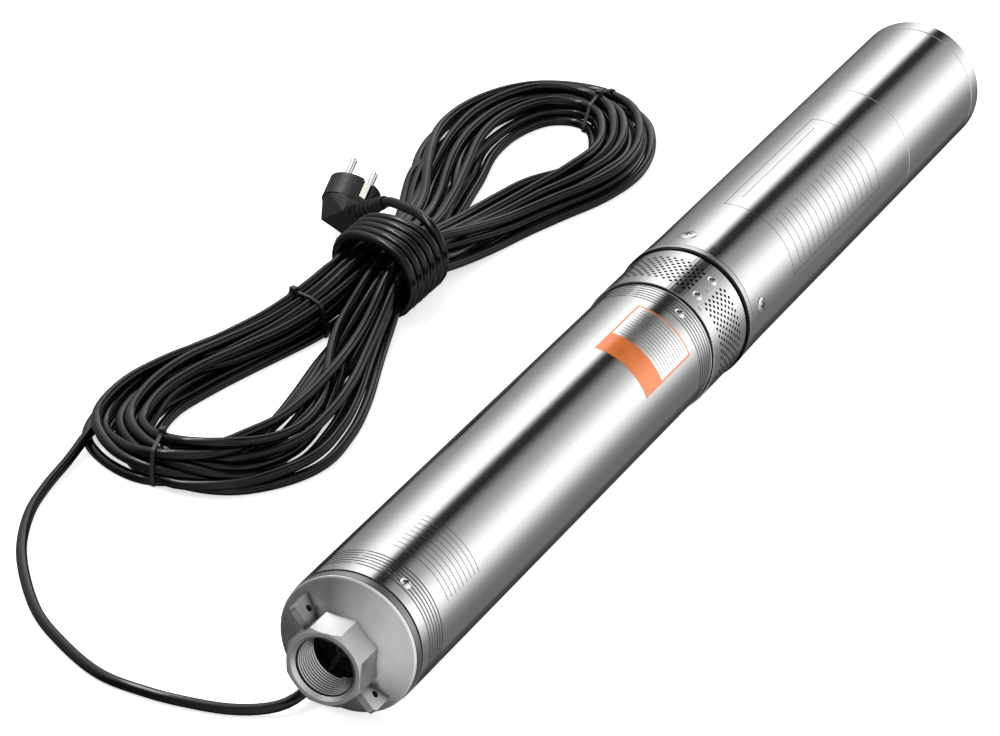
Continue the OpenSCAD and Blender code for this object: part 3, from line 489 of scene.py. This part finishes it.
# The step at the front of the motor flange is painted dark as shade, widening the shadow of the groove, and
# the joint behind it is painted dark as the shade in that seam.
MOTOR_FLANGE_BANDS = [(0.0008, 0.0009, "#232323"), (0.0067, 0.0005, "#2e2e2e")]
flange_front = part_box("motor_head")[0][0]
for behind_face, reach, tone in MOTOR_FLANGE_BANDS:
    paint(tree, shader, flange_front + behind_face, reach, tone)
finish(cast, "motor_head", "lower_bracket")
rough_cast, tree, shader = surface("rough_casting", Metallic=1.0)
cloud = mottle(tree, EVEN, 160.0)
shade(tree, shader, cloud, "#434342", "#565655")
vary(tree, shader, "Roughness", cloud, 0.5, 0.62)
relief(tree, shader, mottle(tree, EVEN, 900.0), 0.0003, 0.4)
finish(rough_cast, "suction_bracket")
finish(seal_rubber, "sand_guard", "seal_ring", "o_rings")


# Motor
# A wound stator pressed in its tube, a cast rotor on two ball bearings, a ceramic shaft
# seal in the motor head, and the start capacitor in the lower housing.
ceramic, tree, shader = surface("alumina_ceramic")
cloud = mottle(tree, EVEN, 150.0)
shade(tree, shader, cloud, "#e4dfd2", "#efebe1")
vary(tree, shader, "Roughness", cloud, 0.2, 0.3)
bearing_steel, tree, shader = surface("ground_bearing_steel", Metallic=1.0)
turned = mottle(tree, (40.0, 2.0, 2.0), 60.0)
shade(tree, shader, turned, "#bdbdbf", "#cbcbcd")
vary(tree, shader, "Roughness", turned, 0.12, 0.22)
laminated, tree, shader = surface("stacked_laminations", Metallic=1.0)
sheets = mottle(tree, (200.0, 1.0, 1.0), 20.0, 1.0)
shade(tree, shader, sheets, "#77787b", "#929396")
vary(tree, shader, "Roughness", sheets, 0.4, 0.55)
relief(tree, shader, sheets, 0.00005, 0.4)
enamelled, tree, shader = surface("enamelled_copper_wire", Metallic=0.9)
strands = mottle(tree, (6.0, 40.0, 40.0), 18.0, 1.0)
shade(tree, shader, strands, "#8a431f", "#b8683a")
vary(tree, shader, "Roughness", strands, 0.28, 0.4)
relief(tree, shader, strands, 0.0004, 0.5)
can, tree, shader = surface("capacitor_can", Metallic=0.9)
drawn = mottle(tree, (1.0, 30.0, 30.0), 30.0)
shade(tree, shader, drawn, "#b2b4b6", "#c2c4c6")
vary(tree, shader, "Roughness", drawn, 0.3, 0.42)
finish(ceramic, "seal_seat")
finish(bearing_steel, "bearing_outer_rings", "bearing_inner_rings", "bearing_balls")
finish(laminated, "rotor_core", "stator_core")
finish(enamelled, "stator_windings")
finish(can, "capacitor")
finish(bright_bar, "motor_shaft")

# Plain etched panel on the motor tube: a frame with empty lines.
MOTOR_R = 0.048
PANEL_X, PANEL_CLOCK = (0.126, 0.284), (84.0, 174.5)
PANEL_LINES, PANEL_LINE_FROM, PANEL_LINE_PITCH, PANEL_LINE_CLOCK = 16, 0.012, 0.0088, (126.0, 170.0)
LONG_LINE_CLOCKS, LONG_LINE_WIDTH, LONG_LINE_MARGIN = (93.0, 108.0), 0.4, 0.014
mesh = bmesh.new()
on_tube_frame(mesh, PANEL_X, PANEL_CLOCK, MOTOR_R + ETCH_LIFT, ETCH_WIDTH)
for line in range(PANEL_LINES):
    at = PANEL_X[0] + PANEL_LINE_FROM + line * PANEL_LINE_PITCH
    on_tube(mesh, (at, at + ETCH_WIDTH), PANEL_LINE_CLOCK, MOTOR_R + ETCH_LIFT)
for clock in LONG_LINE_CLOCKS:
    on_tube(mesh, (PANEL_X[0] + LONG_LINE_MARGIN, PANEL_X[1] - LONG_LINE_MARGIN),
            (clock, clock + LONG_LINE_WIDTH), MOTOR_R + ETCH_LIFT)
panel = piece("motor_etched_panel", mesh, [etched])


# Power cable
# About 20 m of round black rubber cable. It leaves the guard under the outlet, crosses
# the floor in a wide arc, is wound in a long hank and is wrapped round the hank's waist.
CABLE_D = 0.0072
CABLE_STEP = 0.006
CABLE_START = (-0.4465, 0.03009, 0.00897)
# Routes are in millimetres.
FLOOR_ROUTE = [(-457, 31.5, 8), (-467, 38, 6), (-475, 50, 4.6), (-481, 67, 4), (-484, 90, 4), (-484, 118, 4),
               (-477, 156, 4), (-452, 198, 4), (-421, 234, 4), (-368, 274, 4), (-320, 297, 4), (-280, 307, 4),
               (-240, 311, 4.2)]
# One turn of the hank: x, y, half width of the bundle, height of its lowest strands and of a layer.
HANK_TURN = [(-190, 298, 20, 4, 10), (-150, 304, 21, 4, 10), (-110, 298, 21, 4, 10), (-72, 287, 19, 4.5, 9),
             (-28, 273, 17, 6, 9), (10, 262, 15, 8, 11), (45, 253, 12, 11, 14), (72, 249, 11, 12, 15),
             (100, 249, 12, 11, 14), (150, 254, 16, 7, 11), (205, 267, 20, 4.5, 8.5), (258, 283, 25, 4, 9),
             (318, 297, 27, 4, 10), (368, 296, 27, 4, 10), (406, 278, 25, 4, 10), (420, 246, 23, 4, 9.5),
             (408, 214, 22, 4, 9.5), (370, 191, 21, 4, 9), (330, 182, 21, 4, 9), (290, 187, 22, 4, 9),
             (246, 202, 22, 4, 9), (202, 213, 20, 5, 9), (150, 218, 16, 8, 11), (100, 220, 12, 11, 14),
             (72, 221, 11, 12, 15), (45, 222, 12, 11, 14), (5, 218, 16, 7.5, 10), (-40, 209, 20, 5, 9.5),
             (-90, 197, 24, 4, 10), (-135, 189, 26, 4, 10.5), (-180, 188, 27, 4, 10.5),
             (-217, 202, 24, 4, 10.5), (-232, 229, 17, 4, 10.5), (-230, 258, 15, 4, 10),
             (-214, 283, 16, 4, 10)]
TURNS = 13
# Part of a turn that follows the last whole one.
LAST_SHARE = 0.08
# The last turn runs under the bundle to the wraps, which are flatter than a circle.
UNDER_ROUTE = [(-35, 289, 4), (-10, 284, 3.8), (12, 277, 3.7), (31, 267, 3.7), (43.5, 254, 3.6)]
WRAP_AXIS = np.array([0.235, 0.029])
WRAP_R, WRAP_FLAT, WRAP_CORNER = 0.0254, 0.0105, 2.2
WRAP_START, WRAP_PITCH = 0.047, 0.0086
WRAP_LEAN = (0.32, 0.1)
WRAP_FROM, WRAP_TO = math.radians(-86), math.radians(-180 - 5 * 360)
TAIL_ROUTE = [(90, 202.5, 41), (94.5, 211.5, 49.6), (101, 221.5, 53), (107.5, 231.5, 53.2), (115, 245, 51.5),
              (121.5, 256, 49.6), (126.1, 264.4, 46.3), (129.3, 271.3, 41.5)]


def smooth_line(points, spacing, closed=False, samples=16):
    """Points at an even spacing along a smooth line through the given ones."""
    points = np.asarray(points, float)
    if closed:
        ring = np.vstack([points[-1:], points, points[:2]])
    else:
        ring = np.vstack([2 * points[0] - points[1], points, 2 * points[-1] - points[-2]])
    t = np.linspace(0, 1, samples, endpoint=False)[:, None]
    dense = [0.5 * (2 * b + (c - a) * t + (2 * a - 5 * b + 4 * c - d) * t ** 2
                    + (3 * b - a - 3 * c + d) * t ** 3)
             for a, b, c, d in zip(ring, ring[1:], ring[2:], ring[3:])]
    dense = np.vstack(dense + [ring[-2:-1]])
    way = np.concatenate([[0], np.cumsum(np.linalg.norm(np.diff(dense[:, :3], axis=0), axis=1))])
    even = np.linspace(0, way[-1], round(way[-1] / spacing) + 1)
    return np.column_stack([np.interp(even, way, column) for column in dense.T])


# Each turn holds one of thirteen places, across the bundle and in three layers. At eight stations
# of a turn a few neighbours trade places. The first turn starts in the place that the lead reaches.
PLACES = [(-1, 0), (-0.5, 0), (0, 0), (0.5, 0), (1, 0), (0.75, 1), (0.25, 1), (-0.25, 1), (-0.75, 1),
          (-0.6, 2), (-0.2, 2), (0.2, 2), (0.6, 2)]
LEAD_PLACE = 4
STATIONS, TRADES, LOOSENESS = 8, 3, 0.07
turn_line = smooth_line(np.array(HANK_TURN) / 1000, CABLE_STEP, closed=True)[:-1]
per_turn = len(turn_line)
random = np.random.default_rng(11)
order = list(random.permutation(TURNS))
order.insert(0, order.pop(order.index(LEAD_PLACE)))
held = []
for station in range(STATIONS):
    held.append(list(order))
    for swap in random.integers(0, TURNS - 1, TRADES):
        i, j = order.index(swap), order.index(swap + 1)
        order[i], order[j] = order[j], order[i]
place_of = [PLACES[held[k % STATIONS][k // STATIONS]] for k in range(TURNS * STATIONS)]
place_of = np.array(place_of + [PLACES[LEAD_PLACE]] * 2, float)
place_of[1:-2] += random.uniform(-LOOSENESS, LOOSENESS, (len(place_of) - 3, 2))
count = TURNS * per_turn + int(per_turn * LAST_SHARE)
station = np.arange(count) * STATIONS / per_turn
step_on = station % 1
step_on = np.floor(station) + step_on ** 2 * (3 - 2 * step_on)
which = np.arange(count) % per_turn
middle = turn_line[which][:, [0, 1, 3]]
side = np.interp(step_on, np.arange(len(place_of)), place_of[:, 0]) * turn_line[which, 2]
lift = np.interp(step_on, np.arange(len(place_of)), place_of[:, 1]) * turn_line[which, 4]


def across(points):
    """Level direction across a line at each of its points."""
    along = np.gradient(points[:, :2], axis=0)
    return np.column_stack([-along[:, 1], along[:, 0]]) / np.linalg.norm(along, axis=1)[:, None]


hank = middle + np.column_stack([across(middle) * side[:, None], lift])
angle = np.linspace(WRAP_FROM, WRAP_TO, round((WRAP_FROM - WRAP_TO) * WRAP_R / CABLE_STEP))
from_axis = WRAP_R * np.cos(angle) + WRAP_FLAT * np.tanh(WRAP_CORNER * np.cos(angle))
wraps = np.column_stack([WRAP_START + WRAP_PITCH * (WRAP_FROM - angle) / (2 * math.pi)
                         + np.linspace(*WRAP_LEAN, len(angle)) * from_axis,
                         WRAP_AXIS[0] + from_axis, WRAP_AXIS[1] + WRAP_R * np.sin(angle)])
lead = smooth_line(np.vstack([[CABLE_START], np.array(FLOOR_ROUTE) / 1000, hank[:1]]), CABLE_STEP)[:-1]
under = smooth_line(np.vstack([hank[-1:], np.array(UNDER_ROUTE) / 1000, wraps[:1]]), CABLE_STEP)[1:-1]
tail = smooth_line(np.vstack([wraps[-1:], np.array(TAIL_ROUTE) / 1000]), CABLE_STEP)[1:]

# The loose length drifts sideways and up or down until its strands lie beside and on each other.
# They keep a little room, and more at the waist, where the wraps hold them in.
WAIST_X, WAIST_REACH = 0.072, 0.03
ROOM, WAIST_ROOM = 1.03, 0.15
ROUNDS, ROUNDS_PER_SEARCH, SEARCH_REACH = 240, 6, 1.9
PUSH, FALL, EVEN_OUT = 0.3, 0.00003, 0.22
OVERLAP_REACH = 0.75
FLOOR_GAP = 0.0001
planned = np.vstack([lead, hank, under])
sideways = across(np.vstack([lead, middle, under]))
free = np.concatenate([np.clip(np.linspace(-2, 1, len(lead)), 0, 1), np.ones(count),
                       np.clip(np.linspace(1, -0.2, len(under)), 0, 1)])[:, None]
drift = np.zeros((len(planned), 2))
from_waist = planned[:, 0] - WAIST_X
in_waist = (np.abs(from_waist) < WAIST_REACH) & (np.arange(len(planned)) < len(lead) + count)
room = CABLE_D * (ROOM + WAIST_ROOM * np.exp(-(from_waist / WAIST_REACH) ** 2))
fixed = np.vstack([wraps, tail])


def touching(points, reach, same_stretch=5):
    """Pairs of points on different stretches of the cable that lie within reach."""
    tree = kdtree.KDTree(len(points))
    for i, point in enumerate(points):
        tree.insert(point, i)
    tree.balance()
    return np.array([(i, j) for i, point in enumerate(points)
                     for _, j, _ in tree.find_range(point, reach) if abs(i - j) > same_stretch]).T


for round_no in range(ROUNDS):
    loose_line = planned + np.column_stack([sideways * drift[:, :1], drift[:, 1]])
    whole = np.vstack([loose_line, fixed])
    if round_no % ROUNDS_PER_SEARCH == 0:
        first, second = touching(whole, CABLE_D * SEARCH_REACH)
        keep = first < len(planned)
        first, second = first[keep], second[keep]
    along = np.gradient(whole, axis=0)
    along /= np.linalg.norm(along, axis=1)[:, None]
    apart = whole[first] - whole[second]
    slide = (apart * along[second]).sum(1)
    apart -= slide[:, None] * along[second]
    gap = np.maximum(np.linalg.norm(apart, axis=1), 1e-5)
    short = np.maximum(room[first] - gap, 0) * (np.abs(slide) < CABLE_STEP * OVERLAP_REACH)
    push = apart / gap[:, None] * short[:, None] * PUSH
    drift += free * np.column_stack([np.bincount(first, (push[:, :2] * sideways[first]).sum(1), len(planned)),
                                     np.bincount(first, push[:, 2], len(planned)) - FALL])
    for _ in range(2):
        drift[1:-1] += EVEN_OUT * free[1:-1] * (drift[:-2] + drift[2:] - 2 * drift[1:-1])
    drift[:, 1] = np.maximum(drift[:, 1], CABLE_D / 2 + FLOOR_GAP - planned[:, 2])
    moved = planned[:, 1:] + np.column_stack([sideways[:, 1] * drift[:, 0], drift[:, 1]])
    out = moved[in_waist] - WRAP_AXIS
    out[:, 0] -= np.clip(out[:, 0], -WRAP_FLAT, WRAP_FLAT)
    inside = np.minimum(1, (WRAP_R - CABLE_D * ROOM) / np.maximum(np.linalg.norm(out, axis=1), 1e-6)) - 1
    per_drift = np.column_stack([sideways[in_waist, 1], np.ones(in_waist.sum())])
    drift[in_waist] += inside[:, None] * out / per_drift
loose_line = planned + np.column_stack([sideways * drift[:, :1], drift[:, 1]])
cable_line = smooth_line(np.vstack([loose_line, fixed]), CABLE_STEP)
cable_line[:, 2] = np.maximum(cable_line[:, 2], CABLE_D / 2)

# Extruded rubber: near black, with a soft sheen along each strand.
cable_rubber, tree, shader = surface("extruded_rubber", Specular_IOR_Level=0.3)
cloud = mottle(tree, EVEN, 60.0)
shade(tree, shader, cloud, "#050505", "#0a0a0a")
vary(tree, shader, "Roughness", cloud, 0.14, 0.2)
relief(tree, shader, mottle(tree, EVEN, 900.0), 0.0003, 0.06)
curve = bpy.data.curves.new("power_cable", "CURVE")
curve.dimensions = "3D"
curve.bevel_depth = CABLE_D / 2
curve.bevel_resolution = 4
curve.use_fill_caps = True
curve.splines.new("POLY").points.add(len(cable_line) - 1)
curve.splines[0].points.foreach_set("co", np.column_stack([cable_line, np.ones(len(cable_line))]).ravel())
curve.materials.append(cable_rubber)
power_cable = bpy.data.objects.new("power_cable", curve)
scene.collection.objects.link(power_cable)
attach(power_cable, "housing")
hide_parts("power_cord", "cord_hank", "hank_collar")
finish(cable_rubber, "motor_lead")


# Cable ties
# Three thin black nylon ties, each pulled round the strands that pass there, with a
# small square head on top.
nylon, tree, shader = surface("black_nylon")
cloud = mottle(tree, EVEN, 300.0)
shade(tree, shader, cloud, "#0c0c0c", "#141414")
vary(tree, shader, "Roughness", cloud, 0.35, 0.48)
# Each tie: its place, how far across it takes strands in, and the way that they run there.
TIES = [((-0.229, 0.25), 0.036, (-0.2, 0.98)), ((0.415, 0.228), 0.036, (0.08, 1.0)),
        ((0.003, 0.265), 0.026, (0.96, -0.28))]
TIE_WIDTH, TIE_THICKNESS = 0.0026, 0.001
TIE_HEAD, TIE_HEAD_LIFT = (0.0042, 0.005, 0.003), 0.0007
mesh = bmesh.new()
for (x, y), reach, heading in TIES:
    way = Vector((*heading, 0)).normalized()
    level = Vector((-way.y, way.x, 0))
    near = [Vector(p) - Vector((x, y, 0)) for p in cable_line]
    section = [(v.dot(level), v.z) for v in near
               if abs(v.dot(way)) < CABLE_STEP * 0.5 and abs(v.dot(level)) < reach]
    ring = bmesh.ops.create_circle(mesh, segments=64, radius=1.0)["verts"]
    grip = CABLE_D / 2 + TIE_THICKNESS
    for vert in ring:
        pull = vert.co.copy()
        a, b = max(section, key=lambda point: point[0] * pull.x + point[1] * pull.y)
        vert.co = Vector((x, y, 0)) + level * (a + pull.x * grip) - way * TIE_WIDTH / 2
        vert.co.z = max(b + pull.y * grip, TIE_THICKNESS * 1.05)
    edges = list({edge for vert in ring for edge in vert.link_edges})
    made = bmesh.ops.extrude_edge_only(mesh, edges=edges)["geom"]
    for vert in made:
        if isinstance(vert, bmesh.types.BMVert):
            vert.co += way * TIE_WIDTH
    top = max(ring, key=lambda vert: vert.co.z).co
    block = bmesh.ops.create_cube(mesh, size=1.0)["verts"]
    for vert in block:
        along, beside, up = (share * size for share, size in zip(vert.co, TIE_HEAD))
        vert.co = top + way * (TIE_WIDTH / 2 + along) + level * beside
        vert.co.z += TIE_HEAD_LIFT + up
bmesh.ops.recalc_face_normals(mesh, faces=mesh.faces)
ties = piece("hank_ties", mesh, [nylon])
band = ties.modifiers.new("band", "SOLIDIFY")
band.thickness = TIE_THICKNESS
band.offset = -1.0
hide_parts("cable_ties")


# Plug
# An angled earthed plug moulded on the cable, with a ribbed strain relief, two round
# nickelled pins and two spring earth contacts.
moulded, tree, shader = surface("moulded_plug_plastic")
cloud = mottle(tree, EVEN, 200.0)
shade(tree, shader, cloud, "#0e0e0e", "#161616")
vary(tree, shader, "Roughness", cloud, 0.4, 0.5)
relief(tree, shader, mottle(tree, EVEN, 1800.0), 0.0001, 0.2)
nickel, tree, shader = surface("nickel_plated_brass", Metallic=1.0)
turned = mottle(tree, EVEN, 300.0)
shade(tree, shader, turned, "#d3d0c9", "#e0ddd6")
vary(tree, shader, "Roughness", turned, 0.14, 0.24)
finish(moulded, "plug_body", "plug_boot")
finish(nickel, "plug_contacts")
soften("plug_body", width=0.0008)
